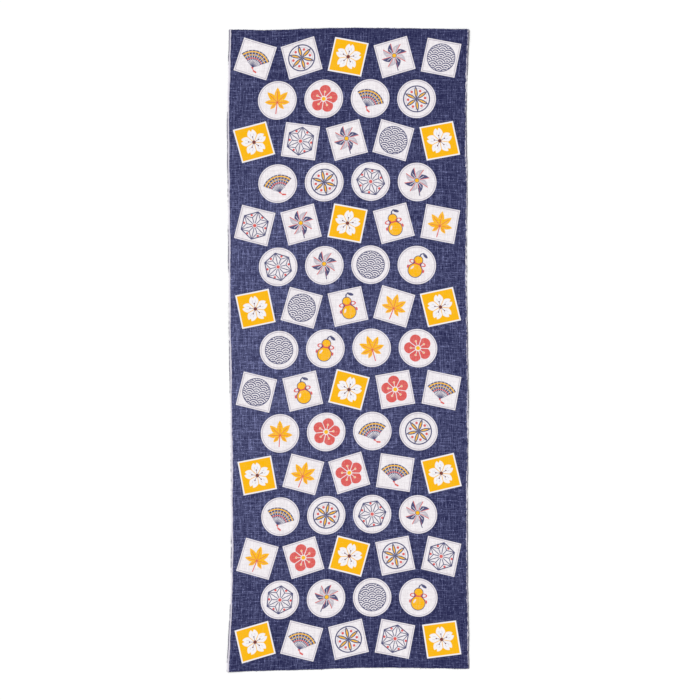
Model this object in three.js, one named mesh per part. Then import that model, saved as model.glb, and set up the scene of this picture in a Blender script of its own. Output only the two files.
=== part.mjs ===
// A tenugui: a plain-woven cotton hand towel, one straight cut of cloth laid out on a table.
// Millimetres, +Z up. X runs across the cloth along the weft, Y along it with the warp, and the
// origin is the middle of the towel's footprint, on the table top.
import * as THREE from 'three';

// The cut: two woven selvedges down the long sides, two raw ends that are cut and never hemmed.
const TOWEL = { width: 335, length: 900, thickness: 1 };

// How far each edge strays from the true rectangle as the cloth relaxes off its grain.
// Selvedges: a row every eighth of the length from the near end, +X to the right.
const SELVEDGES = [
  { left: -3.5, right: 2.3 },
  { left: 1.9, right: 0.8 },
  { left: 2.6, right: 0.1 },
  { left: 1.6, right: 1.2 },
  { left: 0.1, right: 0.6 },
  { left: -1.1, right: -1.1 },
  { left: -2.0, right: -0.2 },
  { left: -2.7, right: -1.4 },
  { left: 0.1, right: 2.2 },
];
// Raw ends: a row every sixth of the width from the left selvedge, +Y away from the near end.
const ENDS = [
  { near: -4.0, far: -0.9 },
  { near: -2.3, far: -1.8 },
  { near: -1.0, far: 0.1 },
  { near: 1.2, far: 1.3 },
  { near: 2.1, far: 0.9 },
  { near: 1.3, far: 0.3 },
  { near: 0.2, far: -0.9 },
];

// Soft ripples along the rim, where the cloth stands a little off the table. Each is a smooth
// mound, `high` at its middle and gone at `alongHalf` and `inward` from it. The middle of a
// selvedge ripple is `at` along Y, the middle of an end ripple is `at` along X.
const RIPPLES = [
  { edge: 'left', at: -445, alongHalf: 62, inward: 46, high: 1.5 },
  { edge: 'left', at: -255, alongHalf: 58, inward: 30, high: 0.8 },
  { edge: 'left', at: -120, alongHalf: 44, inward: 24, high: 0.6 },
  { edge: 'left', at: 42, alongHalf: 70, inward: 34, high: 1.1 },
  { edge: 'left', at: 196, alongHalf: 48, inward: 26, high: 0.7 },
  { edge: 'left', at: 345, alongHalf: 60, inward: 30, high: 0.9 },
  { edge: 'right', at: -392, alongHalf: 52, inward: 30, high: 1.0 },
  { edge: 'right', at: -236, alongHalf: 46, inward: 24, high: 0.6 },
  { edge: 'right', at: -64, alongHalf: 66, inward: 32, high: 1.0 },
  { edge: 'right', at: 118, alongHalf: 50, inward: 26, high: 0.8 },
  { edge: 'right', at: 262, alongHalf: 48, inward: 26, high: 0.7 },
  { edge: 'right', at: 446, alongHalf: 64, inward: 44, high: 1.6 },
  { edge: 'near', at: 74, alongHalf: 66, inward: 30, high: 0.8 },
  { edge: 'far', at: -52, alongHalf: 72, inward: 28, high: 0.8 },
];

// The grid that carries the shape: fine bands where the ripples are, wide ones between.
const RIM_BANDS = [0, 5, 11, 18, 26, 36, 48];
const MIDDLE_COLUMNS = 4;
const ROW_STEP = 12.5;

// Smooth curve through evenly spaced values: cubic pieces whose slopes come from the neighbours.
function smoothAlong(values, share) {
  const last = values.length - 1;
  const place = THREE.MathUtils.clamp(share, 0, 1) * last;
  const i = Math.min(Math.floor(place), last - 1);
  const q = place - i;
  const slope = (k) =>
    (values[Math.min(k + 1, last)] - values[Math.max(k - 1, 0)]) / (k > 0 && k < last ? 2 : 1);
  return (
    values[i] * (1 + 2 * q) * (1 - q) ** 2 +
    slope(i) * q * (1 - q) ** 2 +
    values[i + 1] * q * q * (3 - 2 * q) +
    slope(i + 1) * q * q * (q - 1)
  );
}

// Where a thread crossing lies on the table: across and along are its place in the flat cut.
function layFlat(across, along) {
  const rightShare = across / TOWEL.width + 0.5;
  const farShare = along / TOWEL.length + 0.5;
  const strayX = THREE.MathUtils.lerp(
    smoothAlong(SELVEDGES.map((row) => row.left), farShare),
    smoothAlong(SELVEDGES.map((row) => row.right), farShare),
    rightShare,
  );
  const strayY = THREE.MathUtils.lerp(
    smoothAlong(ENDS.map((row) => row.near), rightShare),
    smoothAlong(ENDS.map((row) => row.far), rightShare),
    farShare,
  );
  return new THREE.Vector2(across + strayX, along + strayY);
}

// A raised cosine: 1 in the middle, level and zero from one reach out.
function mound(distance, reach) {
  const share = Math.min(Math.abs(distance) / reach, 1);
  return 0.5 + 0.5 * Math.cos(Math.PI * share);
}

// How far the cloth's underside is off the table at a place in the flat cut.
function lift(across, along) {
  const inFrom = {
    left: TOWEL.width / 2 + across,
    right: TOWEL.width / 2 - across,
    near: TOWEL.length / 2 + along,
    far: TOWEL.length / 2 - along,
  };
  return RIPPLES.reduce((height, ripple) => {
    const onSelvedge = ripple.edge === 'left' || ripple.edge === 'right';
    const offMiddle = (onSelvedge ? along : across) - ripple.at;
    const raised = mound(offMiddle, ripple.alongHalf) * mound(inFrom[ripple.edge], ripple.inward);
    return height + ripple.high * raised;
  }, 0);
}

// Stations across the cut: the rim bands of both sides, with even columns between them.
function stationsAcross() {
  const half = TOWEL.width / 2;
  const innermost = half - RIM_BANDS.at(-1);
  const left = RIM_BANDS.map((band) => band - half);
  const middle = Array.from(
    { length: MIDDLE_COLUMNS - 1 },
    (_, i) => -innermost + ((i + 1) * 2 * innermost) / MIDDLE_COLUMNS,
  );
  const right = left.map((station) => -station).reverse();
  return [...left, ...middle, ...right];
}

function stationsAlong() {
  const rows = Math.round(TOWEL.length / ROW_STEP);
  return Array.from({ length: rows + 1 }, (_, i) => (i / rows - 0.5) * TOWEL.length);
}

// The towel's solid: its top and underside are the same laid surface, one thickness apart, and
// a wall joins them round the rim.
function towelGeometry() {
  const acrossAt = stationsAcross();
  const alongAt = stationsAlong();
  const columns = acrossAt.length;
  const rows = alongAt.length;
  const positions = [];
  for (const thickness of [TOWEL.thickness, 0]) {
    for (const along of alongAt) {
      for (const across of acrossAt) {
        const place = layFlat(across, along);
        positions.push(place.x, place.y, lift(across, along) + thickness);
      }
    }
  }
  const top = (column, row) => row * columns + column;
  const under = (column, row) => top(column, row) + columns * rows;
  const faces = [];
  const quad = (a, b, c, d) => faces.push(a, b, c, a, c, d);
  for (let row = 0; row + 1 < rows; row += 1) {
    for (let column = 0; column + 1 < columns; column += 1) {
      const [c, r] = [column + 1, row + 1];
      quad(top(column, row), top(c, row), top(c, r), top(column, r));
      quad(under(column, r), under(c, r), under(c, row), under(column, row));
    }
  }
  for (let column = 0; column + 1 < columns; column += 1) {
    const c = column + 1;
    quad(under(column, 0), under(c, 0), top(c, 0), top(column, 0));
    quad(top(column, rows - 1), top(c, rows - 1), under(c, rows - 1), under(column, rows - 1));
  }
  for (let row = 0; row + 1 < rows; row += 1) {
    const r = row + 1;
    quad(top(0, row), top(0, r), under(0, r), under(0, row));
    quad(under(columns - 1, row), under(columns - 1, r), top(columns - 1, r), top(columns - 1, row));
  }
  const geometry = new THREE.BufferGeometry();
  geometry.setAttribute('position', new THREE.Float32BufferAttribute(positions, 3));
  geometry.setIndex(faces);
  // The stray edges shift the footprint's middle a little, so it is brought back to the origin.
  geometry.computeBoundingBox();
  const middle = geometry.boundingBox.getCenter(new THREE.Vector3());
  geometry.translate(-middle.x, -middle.y, 0);
  geometry.computeVertexNormals();
  return geometry;
}

const printedCotton = new THREE.MeshStandardMaterial({
  name: 'printed_cotton',
  color: new THREE.Color().setRGB(0.27, 0.28, 0.43, THREE.SRGBColorSpace),
  roughness: 0.92,
  metalness: 0,
});

const cloth = new THREE.Mesh(towelGeometry(), printedCotton);
cloth.name = 'towel_cloth';

const tenugui = new THREE.Group();
tenugui.name = 'tenugui';
tenugui.add(cloth);

export default tenugui;
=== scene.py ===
# %% [markdown]
# # A tenugui, laid out flat
#
# A tenugui is a Japanese hand towel: one straight cut of narrow cotton cloth, woven with a
# selvedge down each long side, cut across both ends and never hemmed. This lesson makes one as
# it lies on a table, printed in indigo with squares and roundels left white for small pictures.
#
# The towel's size and place come from a frame that was built first. It is loaded here, and the
# cloth made below has to fit the plain solid that stands for it there.

# %% Load the frame
import math
from collections import namedtuple

import bpy
import numpy as np
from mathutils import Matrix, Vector


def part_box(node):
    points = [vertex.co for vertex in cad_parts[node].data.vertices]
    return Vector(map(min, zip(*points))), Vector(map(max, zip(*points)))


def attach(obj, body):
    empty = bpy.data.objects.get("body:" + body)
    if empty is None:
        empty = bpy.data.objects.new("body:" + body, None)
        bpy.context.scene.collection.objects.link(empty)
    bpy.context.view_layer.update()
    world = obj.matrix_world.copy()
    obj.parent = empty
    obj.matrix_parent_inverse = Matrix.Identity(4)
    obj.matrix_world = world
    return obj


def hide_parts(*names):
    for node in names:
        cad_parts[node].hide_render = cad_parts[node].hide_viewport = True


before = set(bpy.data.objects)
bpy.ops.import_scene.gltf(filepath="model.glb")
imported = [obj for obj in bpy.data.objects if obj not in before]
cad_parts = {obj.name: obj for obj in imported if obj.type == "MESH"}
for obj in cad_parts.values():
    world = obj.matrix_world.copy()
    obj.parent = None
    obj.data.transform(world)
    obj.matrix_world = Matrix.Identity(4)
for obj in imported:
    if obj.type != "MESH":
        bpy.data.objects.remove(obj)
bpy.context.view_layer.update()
solid_low, solid_high = (np.array(corner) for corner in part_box("towel_cloth"))
print("solid of the towel, mm:", np.round((solid_high - solid_low) * 1000, 1))

# %% [markdown]
# ## How the cut lies
#
# Cloth is cut square but it never lies square: it relaxes off its grain, so each edge wanders a
# few millimetres from the true rectangle. The tables below say by how much, at even stations
# along each edge, and a smooth curve runs through them. Numbers are in millimetres until a mesh
# is made, because that is how a cutter would write them down.

# %% The cut and its wandering edges
MM = 0.001
WIDTH = 335.0
LENGTH = 900.0
THICKNESS = 0.5

# Every eighth of the length from the near end, +X to the right.
LEFT_STRAY = (-3.5, 1.9, 2.6, 1.6, 0.1, -1.1, -2.0, -2.7, 0.1)
RIGHT_STRAY = (2.3, 0.8, 0.1, 1.2, 0.6, -1.1, -0.2, -1.4, 2.2)
# Every sixth of the width from the left selvedge, +Y away from the near end.
NEAR_STRAY = (-4.0, -2.3, -1.0, 1.2, 2.1, 1.3, 0.2)
FAR_STRAY = (-0.9, -1.8, 0.1, 1.3, 0.9, 0.3, -0.9)


def smooth_along(values, share):
    """A smooth curve through evenly spaced values, read at a share of the way along.

    Each piece between two values is a cubic, and its slope at a value is half the step between
    that value's two neighbours (at the first and last, the whole step to the only neighbour).
    """
    values = np.asarray(values, float)
    slope = np.gradient(values)
    last = len(values) - 1
    place = np.clip(share, 0.0, 1.0) * last
    i = np.minimum(place.astype(int), last - 1)
    q = place - i
    return (
        values[i] * (1 + 2 * q) * (1 - q) ** 2
        + slope[i] * q * (1 - q) ** 2
        + values[i + 1] * q * q * (3 - 2 * q)
        + slope[i + 1] * q * q * (q - 1)
    )


def mix(a, b, share):
    """a where share is 0, b where it is 1, and in proportion between."""
    return a + (b - a) * share


def lay_flat(across, along):
    """Where a thread crossing of the flat cut comes to lie: its own place plus the stray of the
    two nearest edges, each fading evenly towards the edge opposite."""
    right_share = across / WIDTH + 0.5
    far_share = along / LENGTH + 0.5
    left = smooth_along(LEFT_STRAY, far_share)
    right = smooth_along(RIGHT_STRAY, far_share)
    near = smooth_along(NEAR_STRAY, right_share)
    far = smooth_along(FAR_STRAY, right_share)
    return across + mix(left, right, right_share), along + mix(near, far, far_share)


print("corner of the cut lies at, mm:", lay_flat(np.array(-WIDTH / 2), np.array(-LENGTH / 2)))

# %% [markdown]
# ## Ripples and slack
#
# Thin cotton does not press itself flat. Its rim stands off the table in a few long, low
# ripples, its selvedges are woven a little tighter and so pucker in short waves, and its middle
# has some slack. All three are heights added to one sheet, each a plain formula of the place in
# the cut, so no thread is pulled longer than it is.

# %% Height of the cloth's underside above the table
Ripple = namedtuple("Ripple", "edge at along_half inward high")
RIPPLES = (
    Ripple("left", -445, 62, 46, 1.5),
    Ripple("left", -255, 58, 30, 0.8),
    Ripple("left", -120, 44, 24, 0.6),
    Ripple("left", 42, 70, 34, 1.1),
    Ripple("left", 196, 48, 26, 0.7),
    Ripple("left", 345, 60, 30, 0.9),
    Ripple("right", -392, 52, 30, 1.0),
    Ripple("right", -236, 46, 24, 0.6),
    Ripple("right", -64, 66, 32, 1.0),
    Ripple("right", 118, 50, 26, 0.8),
    Ripple("right", 262, 48, 26, 0.7),
    Ripple("right", 446, 64, 44, 1.6),
    Ripple("near", 74, 66, 30, 0.8),
    Ripple("far", -52, 72, 28, 0.8),
)
SLACK_WAVES = 16
SLACK_LENGTHS = (45, 150)
SLACK_HIGH = 0.09
SLACK_SEED = 11
Pucker = namedtuple("Pucker", "length sway sway_length start")
LEFT_PUCKER = Pucker(3.4, 2.2, 31.0, 0.0)
RIGHT_PUCKER = Pucker(3.9, 1.9, 27.0, 1.0)
PUCKER_HIGH = 0.22
PUCKER_REACH = 13.0


def mound(distance, reach):
    """A raised cosine: 1 in the middle, level and zero from one reach out."""
    return 0.5 + 0.5 * np.cos(np.pi * np.minimum(np.abs(distance) / reach, 1.0))


def rim_ripples(across, along):
    """The sum of the table's ripples, each the product of a mound along its edge and one inward."""
    inward = {
        "left": WIDTH / 2 + across,
        "right": WIDTH / 2 - across,
        "near": LENGTH / 2 + along,
        "far": LENGTH / 2 - along,
    }
    height = np.zeros_like(across)
    for ripple in RIPPLES:
        follows = along if ripple.edge in ("left", "right") else across
        beside = mound(follows - ripple.at, ripple.along_half)
        height += ripple.high * beside * mound(inward[ripple.edge], ripple.inward)
    return height


def slack(across, along):
    """The square of a sum of plane waves in seeded directions, so it touches zero along winding
    lines, where the cloth meets the table, and swells softly between them."""
    rng = np.random.default_rng(SLACK_SEED)
    shortest, longest = SLACK_LENGTHS
    total = np.zeros_like(across)
    for _ in range(SLACK_WAVES):
        wavelength, heading, phase = rng.uniform((shortest, 0, 0), (longest, np.pi, 2 * np.pi))
        run = across * np.cos(heading) + along * np.sin(heading)
        total += np.cos(2 * np.pi * run / wavelength + phase)
    return SLACK_HIGH * total**2 / (SLACK_WAVES / 2)


def pucker_wave(along, pucker):
    """A sine between 0 and 1, whose own place is swayed by a longer sine so its length wanders."""
    sway = pucker.sway * np.sin(along / pucker.sway_length + pucker.start)
    return 0.5 + 0.5 * np.sin(along / pucker.length + sway)


def selvedge_puckers(across, along):
    """Short waves down each selvedge that fade out inwards."""
    left = mound(WIDTH / 2 + across, PUCKER_REACH) * pucker_wave(along, LEFT_PUCKER)
    right = mound(WIDTH / 2 - across, PUCKER_REACH) * pucker_wave(along, RIGHT_PUCKER)
    return PUCKER_HIGH * (left + right)


def lift(across, along):
    """All the heights together."""
    raised = rim_ripples(across, along) + slack(across, along)
    return raised + selvedge_puckers(across, along)


# %% [markdown]
# ## Camera, table and light
#
# The towel is seen from straight above through a long lens, which keeps its sides parallel. The
# table is a plain pale sheet. An even sky and one broad lamp, far off over the left shoulder,
# light it softly, so that a cloth half a millimetre thick throws almost no shadow.

# %% Camera
VIEW_WIDTH = 0.9845
VIEW_CENTRE = (0.00305, -0.0002)
LENS = 90.0
SENSOR = 36.0

scene = bpy.context.scene
camera = bpy.data.objects.new("camera", bpy.data.cameras.new("camera"))
camera.data.lens = LENS
camera.data.sensor_width = SENSOR
camera.location = (*VIEW_CENTRE, VIEW_WIDTH * LENS / SENSOR)
camera.data.clip_end = 100.0
scene.collection.objects.link(camera)
scene.camera = camera
scene.view_settings.view_transform = "Standard"
print("camera height, m:", round(camera.location.z, 3))

# %% Table and lights
TABLE_SIZE = 30.0
TABLE_DROP = 0.0002
TABLE_COLOUR = (0.92, 0.92, 0.92)
TABLE_ROUGH = 0.9
TABLE_SPECULAR = 0.1
SKY_STRENGTH = 0.60
LAMP_SHARE = 0.52
LAMP_FROM = Vector((-0.55, 0.45, 1.0)).normalized()
LAMP_ANGLE = math.radians(18)

table_mesh = bpy.data.meshes.new("table")
half = TABLE_SIZE / 2
table_corners = [(-half, -half), (half, -half), (half, half), (-half, half)]
table_mesh.from_pydata([(x, y, -TABLE_DROP) for x, y in table_corners], [], [(0, 1, 2, 3)])
table = bpy.data.objects.new("table", table_mesh)
scene.collection.objects.link(table)
table_finish = bpy.data.materials.new("table_paper")
table_finish.use_nodes = True
table_shader = table_finish.node_tree.nodes["Principled BSDF"]
table_shader.inputs["Base Color"].default_value = (*TABLE_COLOUR, 1.0)
table_shader.inputs["Roughness"].default_value = TABLE_ROUGH
table_shader.inputs["Specular IOR Level"].default_value = TABLE_SPECULAR
table_mesh.materials.append(table_finish)

world = bpy.data.worlds.new("studio")
world.use_nodes = True
world.node_tree.nodes["Background"].inputs["Color"].default_value = (1.0, 1.0, 1.0, 1.0)
world.node_tree.nodes["Background"].inputs["Strength"].default_value = SKY_STRENGTH
scene.world = world

# A lamp of strength pi lights a white sheet that faces it as a sky of strength 1 does.
lamp = bpy.data.objects.new("lamp", bpy.data.lights.new("lamp", "SUN"))
lamp.data.energy = LAMP_SHARE * math.pi / LAMP_FROM.z
lamp.data.angle = LAMP_ANGLE
lamp.rotation_euler = LAMP_FROM.to_track_quat("Z", "Y").to_euler()
scene.collection.objects.link(lamp)
print("light on a level white sheet:", SKY_STRENGTH + LAMP_SHARE)

# %% [markdown]
# ## The sheet
#
# The cloth is one closed skin: the printed face, the back, and a rim between them. Both faces
# are the same grid of thread crossings, so a pattern drawn on the flat cut follows the cloth
# wherever it strays. The grid is close at the rim, where the edge is rounded and a selvedge is
# thicker than the field, because its outermost warp threads are doubled and the weft turns
# round them.

# %% Grid of the cut
CELL = 2.7
RIM_STEPS = (0.0, 0.2, 0.6, 1.3, 2.6)
ROUND_REACH = 0.6
SELVEDGE_REACH = 3.2
SELVEDGE_EXTRA = 0.14
BACK_ROUND = 0.25


def stations(size):
    """Places across a cut of this size, measured from its middle: close steps in from both
    rims, and even cells between."""
    inner = size / 2 - RIM_STEPS[-1]
    cells = round(2 * inner / CELL)
    left = np.array(RIM_STEPS[:-1]) - size / 2
    return np.concatenate([left, np.linspace(-inner, inner, cells + 1), -left[::-1]])


def wobble(run, sizes, seed):
    """A wandering line: sines whose wavelengths and heights are given, with seeded phases."""
    rng = np.random.default_rng(seed)
    phases = rng.uniform(0, 2 * np.pi, len(sizes))
    return sum(h * np.sin(2 * np.pi * run / w + p) for (w, h), p in zip(sizes, phases))


SELVEDGE_WOBBLE = ((7.3, 0.05), (19.0, 0.10), (47.0, 0.16))
CUT_WOBBLE = ((3.1, 0.04), (11.0, 0.07), (38.0, 0.14))
WOBBLE_REACH = 16.0


def edge_wobble(across, along):
    """Small unevenness of each edge, on top of its stray, fading out inwards."""
    left = wobble(along, SELVEDGE_WOBBLE, seed=1) * mound(WIDTH / 2 + across, WOBBLE_REACH)
    right = wobble(along, SELVEDGE_WOBBLE, seed=2) * mound(WIDTH / 2 - across, WOBBLE_REACH)
    near = wobble(across, CUT_WOBBLE, seed=3) * mound(LENGTH / 2 + along, WOBBLE_REACH)
    far = wobble(across, CUT_WOBBLE, seed=4) * mound(LENGTH / 2 - along, WOBBLE_REACH)
    return left + right, near + far


def skin_heights(across, along):
    """The heights of the back and the face: the lift, with the thickness on top, rounded off
    within ROUND_REACH of the rim and a little fuller along the selvedges. At the rim the back
    has risen by BACK_ROUND of the thickness and the face has dropped to the middle of it."""
    from_side = WIDTH / 2 - np.abs(across)
    from_end = LENGTH / 2 - np.abs(along)
    full = np.sqrt(np.minimum(np.minimum(from_side, from_end) / ROUND_REACH, 1.0))
    extra = SELVEDGE_EXTRA * mound(from_side, SELVEDGE_REACH)
    under = lift(across, along)
    back = under + THICKNESS * BACK_ROUND * (1 - full)
    face = under + THICKNESS * (0.5 + 0.5 * full) + extra * full
    return back, face


def on_table(across, along):
    """Where points of the cut lie in plan, centred as the frame's solid is."""
    x, y = lay_flat(across, along)
    dx, dy = edge_wobble(across, along)
    return x + dx + plan_shift[0], y + dy + plan_shift[1]


across, along = np.meshgrid(stations(WIDTH), stations(LENGTH))
plain_x, plain_y = lay_flat(across, along)
solid_middle = (solid_low + solid_high) / 2 / MM
plan_shift = (
    solid_middle[0] - (plain_x.min() + plain_x.max()) / 2,
    solid_middle[1] - (plain_y.min() + plain_y.max()) / 2,
)
print("grid of the cut:", across.shape, "shift in plan, mm:", np.round(plan_shift, 2))


# %% Skin of the sheet
def quads(grid):
    """One quad for each cell of a grid of vertex numbers, facing +Z."""
    corners = [grid[:-1, :-1], grid[:-1, 1:], grid[1:, 1:], grid[1:, :-1]]
    return np.stack(corners, -1).reshape(-1, 4)


def rim_of(grid):
    """The vertex numbers round a grid's rim, counterclockwise from above, first one repeated."""
    sides = [grid[0, :-1], grid[:-1, -1], grid[-1, :0:-1], grid[:0:-1, 0], grid[0, :1]]
    return np.concatenate(sides)


x, y = on_table(across, along)
back_z, face_z = skin_heights(across, along)
face_grid = np.arange(across.size).reshape(across.shape)
back_grid = face_grid + across.size
face_rim = rim_of(face_grid)
back_rim = rim_of(back_grid)
face_quads = quads(face_grid)
back_quads = quads(back_grid)[:, ::-1]
rim_quads = np.stack([back_rim[:-1], back_rim[1:], face_rim[1:], face_rim[:-1]], -1)
skin = np.concatenate([face_quads, back_quads, rim_quads])
points = np.concatenate(
    [
        np.stack([x, y, face_z], -1).reshape(-1, 3),
        np.stack([x, y, back_z], -1).reshape(-1, 3),
    ]
)
flat_place = np.tile(np.stack([across, along], -1).reshape(-1, 2), (2, 1))


def new_piece(name, places, faces):
    """A mesh object from places in millimetres and faces of vertex numbers, shaded smooth."""
    mesh = bpy.data.meshes.new(name)
    mesh.from_pydata(places * MM, [], faces)
    mesh.polygons.foreach_set("use_smooth", np.ones(len(mesh.polygons), bool))
    mesh.update()
    piece = bpy.data.objects.new(name, mesh)
    scene.collection.objects.link(piece)
    return piece


def set_map(mesh, name, corners):
    """Stores one place for each corner of each face as a UV map."""
    layer = mesh.uv_layers.new(name=name)
    layer.uv.foreach_set("vector", corners.astype(np.float32).ravel())


def set_mark(mesh, name, values):
    """Stores one number for each face."""
    mark = mesh.attributes.new(name, "FLOAT", "FACE")
    mark.data.foreach_set("value", np.asarray(values, np.float32))


towel = new_piece("towel_cloth_printed", points, skin)
print("sheet:", len(points), "points,", len(skin), "faces")

# %% [markdown]
# ## Loose ends and weft turns
#
# The two cut ends are left raw, so every warp thread stops there with a tip of its own, most
# under a millimetre long and a few that have worked free. Down each selvedge the weft comes out
# past the last warp thread, turns and goes back in, which leaves a row of tiny loops, tight on
# the left and looser on the right. Each set is one mesh of thin tubes with closed ends, and each
# tube remembers where in the flat cut it starts, so that it can take the cloth's own colours.


# %% Tubes of thread
def tubes(paths, radii, sides):
    """Round tubes along many paths at once. Each path has as many points as the others; a ring
    of vertices stands at each point, at right angles to the way the path runs there, and a flat
    face closes both ends. Returns the points and two lists of faces, walls and ends."""
    count, steps, _ = paths.shape
    along_path = np.gradient(paths, axis=1)
    along_path /= np.linalg.norm(along_path, axis=-1, keepdims=True)
    aside = np.cross([0.0, 0.0, 1.0], along_path)
    aside /= np.linalg.norm(aside, axis=-1, keepdims=True)
    upward = np.cross(along_path, aside)
    angle = np.arange(sides) * 2 * np.pi / sides
    ring = (
        aside[:, :, None] * np.cos(angle)[:, None] + upward[:, :, None] * np.sin(angle)[:, None]
    )
    places = paths[:, :, None] + ring * radii[:, :, None, None]
    number = np.arange(count * steps * sides).reshape(count, steps, sides)
    beyond = np.roll(number, -1, axis=2)
    walls = np.stack([number[:, :-1], beyond[:, :-1], beyond[:, 1:], number[:, 1:]], -1)
    ends = np.concatenate([number[:, 0, ::-1], number[:, -1]])
    return places.reshape(-1, 3), walls.reshape(-1, 4), ends


def thread_piece(name, paths, radii, flat, sides=5):
    """A mesh object of tubes. Every face is marked with a tone, 0 to 1, that its thread was
    given by chance, and with the place in the flat cut, in metres, that its thread leaves."""
    places, walls, ends = tubes(paths, radii, sides)
    piece = new_piece(name, places, walls.tolist() + ends.tolist())
    number = np.arange(len(paths))
    thread = np.concatenate([np.repeat(number, len(walls) // len(paths)), number, number])
    tone = np.random.default_rng(len(paths)).uniform(0, 1, len(paths))
    set_mark(piece.data, "thread_tone", tone[thread])
    set_mark(piece.data, "thread_across", flat[thread, 0] * MM)
    set_mark(piece.data, "thread_along", flat[thread, 1] * MM)
    print(f"{name}: {len(paths)} threads, {len(places)} points")
    return piece


# %% Tips of the warp at the raw ends
WARP_PITCH = 0.46
TIP_ROOT = 0.6
TIP_SHORT = 0.25
TIP_MEAN = 0.22
TIP_LONGEST = 2.4
TIP_SWAY = 0.35
TIP_BEND = 0.5
TIP_LEVEL = 0.45
TIP_SINK = 0.12
TIP_CLEAR = 0.17
TIP_RADII = (0.13, 0.19)
TIP_TAPER = (1.0, 1.0, 0.95, 0.6)


def warp_tips(end, seed):
    """Paths, radii and flat places of the thread tips at one end (-1 near, 1 far). Lengths
    follow a short tail: TIP_SHORT plus an exponential of mean TIP_MEAN, cut off at TIP_LONGEST.
    Each tip starts TIP_ROOT inside the cloth. Past the cut it goes aside by a share of its run
    and bends by a share of the run's square, and it sinks until it is TIP_CLEAR off the table."""
    rng = np.random.default_rng(seed)
    count = int(WIDTH / WARP_PITCH) - 2
    start = (np.arange(count) - (count - 1) / 2) * WARP_PITCH
    length = np.minimum(TIP_SHORT + rng.exponential(TIP_MEAN, count), TIP_LONGEST)
    sway = rng.uniform(-TIP_SWAY, TIP_SWAY, count)
    bend = rng.uniform(-TIP_BEND, TIP_BEND, count)
    cut = np.full(count, end * LENGTH / 2)
    x0, y0 = on_table(start, cut)
    z0 = lift(start, cut) + THICKNESS * TIP_LEVEL
    run = np.stack([np.full(count, -TIP_ROOT), 0 * length, length / 2, length], -1)
    past_cut = np.maximum(run, 0)
    aside = sway[:, None] * past_cut + bend[:, None] * past_cut**2
    sink = np.minimum(z0[:, None] - TIP_CLEAR, past_cut * TIP_SINK)
    paths = np.stack([x0[:, None] + aside, y0[:, None] + end * run, z0[:, None] - sink], -1)
    radii = rng.uniform(*TIP_RADII, count)[:, None] * np.array(TIP_TAPER)
    return paths, radii, np.stack([start, cut], -1)


def joined(one, other):
    """Two sets of arrays, each array of the first joined to the like one of the second."""
    return [np.concatenate(pair) for pair in zip(one, other)]


near_tips = warp_tips(-1, seed=21)
far_tips = warp_tips(1, seed=22)
warp_ends = thread_piece("raw_end_threads", *joined(near_tips, far_tips))

# %% Turns of the weft at the selvedges
TURN_PITCH = 1.0
LEFT_TURN_OUT = 0.15
RIGHT_TURN_OUT = 0.45
TURN_POINTS = 8
TURN_ROUND = 0.68
TURN_WIDE = 0.27
TURN_TILT = 0.05
TURN_LEVEL = 0.55
TURN_LEVEL_STRAY = 0.04
TURN_UNEVEN = (0.7, 1.3)
TURN_RADIUS = 0.17


def weft_turns(side, turn_out, seed):
    """Paths, radii and flat places of the loops down one selvedge (-1 left, 1 right). Each is an
    oval bow, drawn by an angle from -TURN_ROUND to TURN_ROUND of a half turn: it goes out by
    the cosine, up to about turn_out past the edge, and along and up by the sine."""
    rng = np.random.default_rng(seed)
    count = int(LENGTH / TURN_PITCH) - 1
    middle = (np.arange(count) - (count - 1) / 2) * TURN_PITCH
    edge = np.full(count, side * WIDTH / 2)
    x0, y0 = on_table(edge, middle)
    z0 = lift(edge, middle) + THICKNESS * TURN_LEVEL
    z0 += rng.uniform(-TURN_LEVEL_STRAY, TURN_LEVEL_STRAY, count)
    turn = np.linspace(-TURN_ROUND, TURN_ROUND, TURN_POINTS) * np.pi
    out = turn_out * rng.uniform(*TURN_UNEVEN, count)[:, None] * np.cos(turn)
    paths = np.stack(
        [
            x0[:, None] + side * out,
            y0[:, None] + TURN_PITCH * TURN_WIDE * np.sin(turn),
            z0[:, None] + TURN_TILT * np.sin(turn),
        ],
        -1,
    )
    radii = np.full((count, TURN_POINTS), TURN_RADIUS)
    return paths, radii, np.stack([edge, middle], -1)


left_turns = weft_turns(-1, LEFT_TURN_OUT, seed=31)
right_turns = weft_turns(1, RIGHT_TURN_OUT, seed=32)
weft_loops = thread_piece("selvedge_weft_turns", *joined(left_turns, right_turns))

# %% [markdown]
# ## Where each picture goes
#
# The print is fifteen rows of small white grounds on indigo: rows of five squares, turned a
# little this way and that, and between them rows of four roundels, half a step over. Some of
# the squares are amber. Every ground holds one of a few old textile motifs, in an order that
# keeps like ones apart.
#
# Each face of the mesh is told which ground it is nearest to, as the place of its corners
# measured from that ground's middle. The pictures can then all be drawn once, round zero.

# %% Layout of the print
Ground = namedtuple("Ground", "x y turn square motif")
ROWS = 15
ROW_PITCH = 58.5
COLUMN_PITCH = 65.0
LONG_ROW = 5
SHORT_ROW = 4
SQUARE_HALF = 24.0
ROUNDEL_RADIUS = 27.0
SQUARE_TURN = (8.0, 17.0)
ROUNDEL_TURN = 24.0
TURN_SEED = 5
MOTIFS = (
    "plum_blossom",
    "hemp_leaf",
    "gourd",
    "folding_fan",
    "pinwheel",
    "maple_leaf",
    "thread_ball",
    "sea_waves",
    "cherry_blossom",
)
PICTURES = len(MOTIFS) - 1
CHERRY = MOTIFS.index("cherry_blossom")


def motif_of(row, column):
    """Which motif a ground holds. Amber squares hold the cherry blossom: the outer two of one
    long row, then the middle one of the next. Elsewhere, steps of three along a row and of two
    or five from row to row keep like ones apart."""
    pair = row // 2
    if row % 2:
        return (3 * column + 2 * pair + 1) % PICTURES
    amber_columns = (LONG_ROW // 2,) if pair % 2 else (0, LONG_ROW - 1)
    return CHERRY if column in amber_columns else (3 * column + 5 * pair) % PICTURES


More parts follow.
